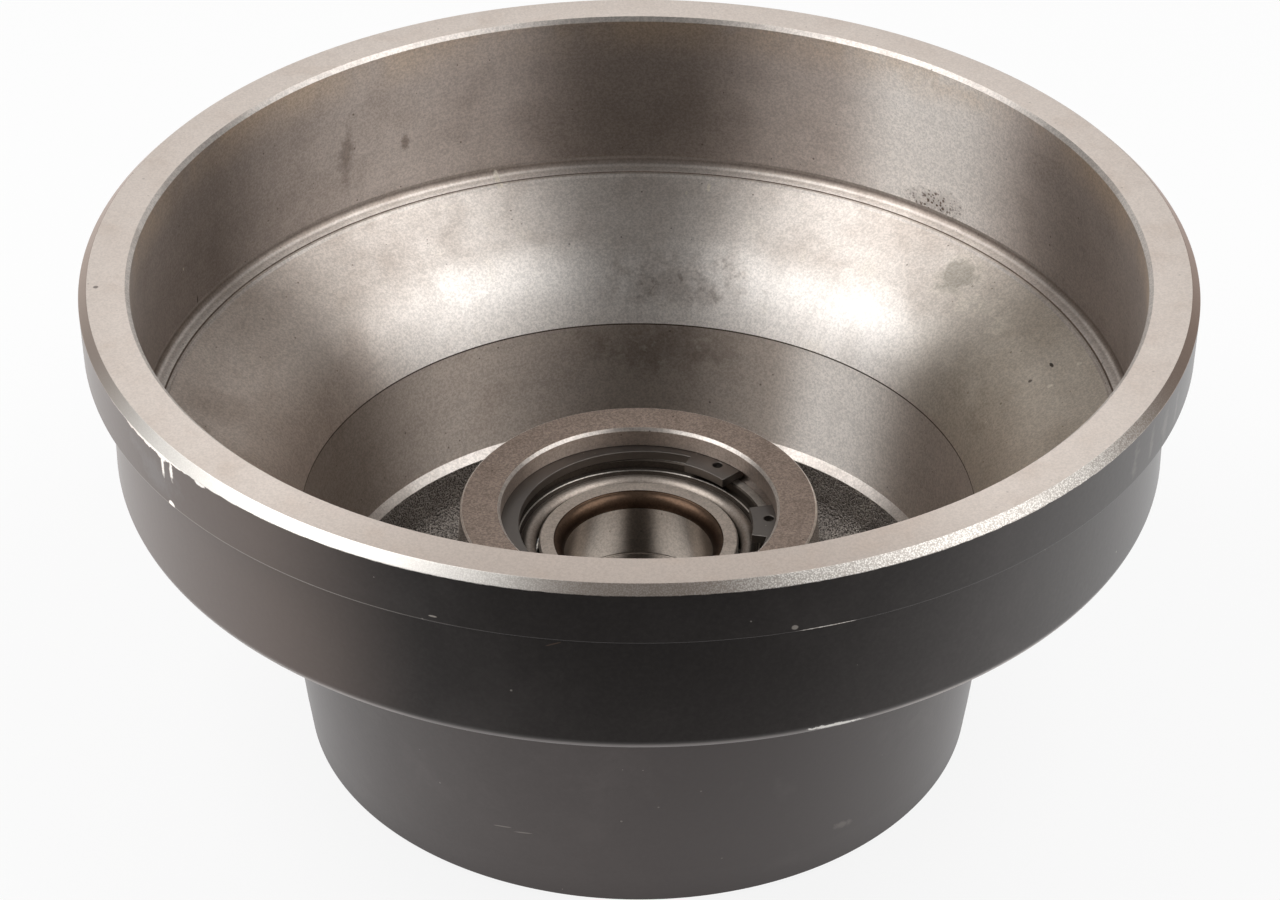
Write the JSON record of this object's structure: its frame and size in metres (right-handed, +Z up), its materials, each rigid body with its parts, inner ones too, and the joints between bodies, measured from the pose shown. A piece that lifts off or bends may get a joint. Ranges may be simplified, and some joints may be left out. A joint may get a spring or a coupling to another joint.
{
  "type": "brake drum",
  "caption": "Flanged bowl-shaped brake drum with a deep hub section, and a sealed wheel bearing held by a circlip in its boss.",
  "frame": {"origin": "centre of the wheel face, on the axis of rotation; the part stands on that face", "axes": "+Z up the axis of rotation, out of the open side where the shoes go; the circlip's gap is 28 degrees from +X towards +Y"},
  "size_m": [0.2794, 0.2794, 0.1365],
  "materials": {
    "cast_iron_drum": "grey iron: turned bright on the friction side, satin black paint outside",
    "spring_steel": "phosphated black spring steel",
    "bearing_steel": "ground bearing steel",
    "seal_steel": "pressed bright steel sheet",
    "cage_polymer": "glass-filled polyamide, moulded",
    "ball_steel": "polished ball steel"
  },
  "bodies": {
    "drum": {"brake_drum": "cast_iron_drum", "circlip": "spring_steel", "bearing_outer_ring": "bearing_steel", "seal_inboard": "seal_steel", "seal_outboard": "seal_steel"},
    "inner_rings": {"inner_ring_inboard": "bearing_steel", "inner_ring_outboard": "bearing_steel"},
    "ball_sets": {"cage_inboard": "cage_polymer", "cage_outboard": "cage_polymer", "ball_inboard_01": "ball_steel", "ball_inboard_02": "ball_steel", "ball_inboard_03": "ball_steel", "ball_inboard_04": "ball_steel", "ball_inboard_05": "ball_steel", "ball_inboard_06": "ball_steel", "ball_inboard_07": "ball_steel", "ball_inboard_08": "ball_steel", "ball_inboard_09": "ball_steel", "ball_inboard_10": "ball_steel", "ball_inboard_11": "ball_steel", "ball_inboard_12": "ball_steel", "ball_inboard_13": "ball_steel", "ball_outboard_01": "ball_steel", "ball_outboard_02": "ball_steel", "ball_outboard_03": "ball_steel", "ball_outboard_04": "ball_steel", "ball_outboard_05": "ball_steel", "ball_outboard_06": "ball_steel", "ball_outboard_07": "ball_steel", "ball_outboard_08": "ball_steel", "ball_outboard_09": "ball_steel", "ball_outboard_10": "ball_steel", "ball_outboard_11": "ball_steel", "ball_outboard_12": "ball_steel", "ball_outboard_13": "ball_steel"}
  },
  "joints": [
    {"name": "inner_rings_spin", "type": "hinge", "parent": "drum", "child": "inner_rings", "pos_m": [0, 0, 0.03255], "axis": [0, 0, 1], "continuous": true},
    {"name": "ball_sets_spin", "type": "hinge", "parent": "drum", "child": "ball_sets", "pos_m": [0, 0, 0.03255], "axis": [0, 0, 1], "continuous": true}
  ],
  "couplings": [
    {"joint": "ball_sets_spin", "follows": "inner_rings_spin", "ratio": 0.413}
  ]
}
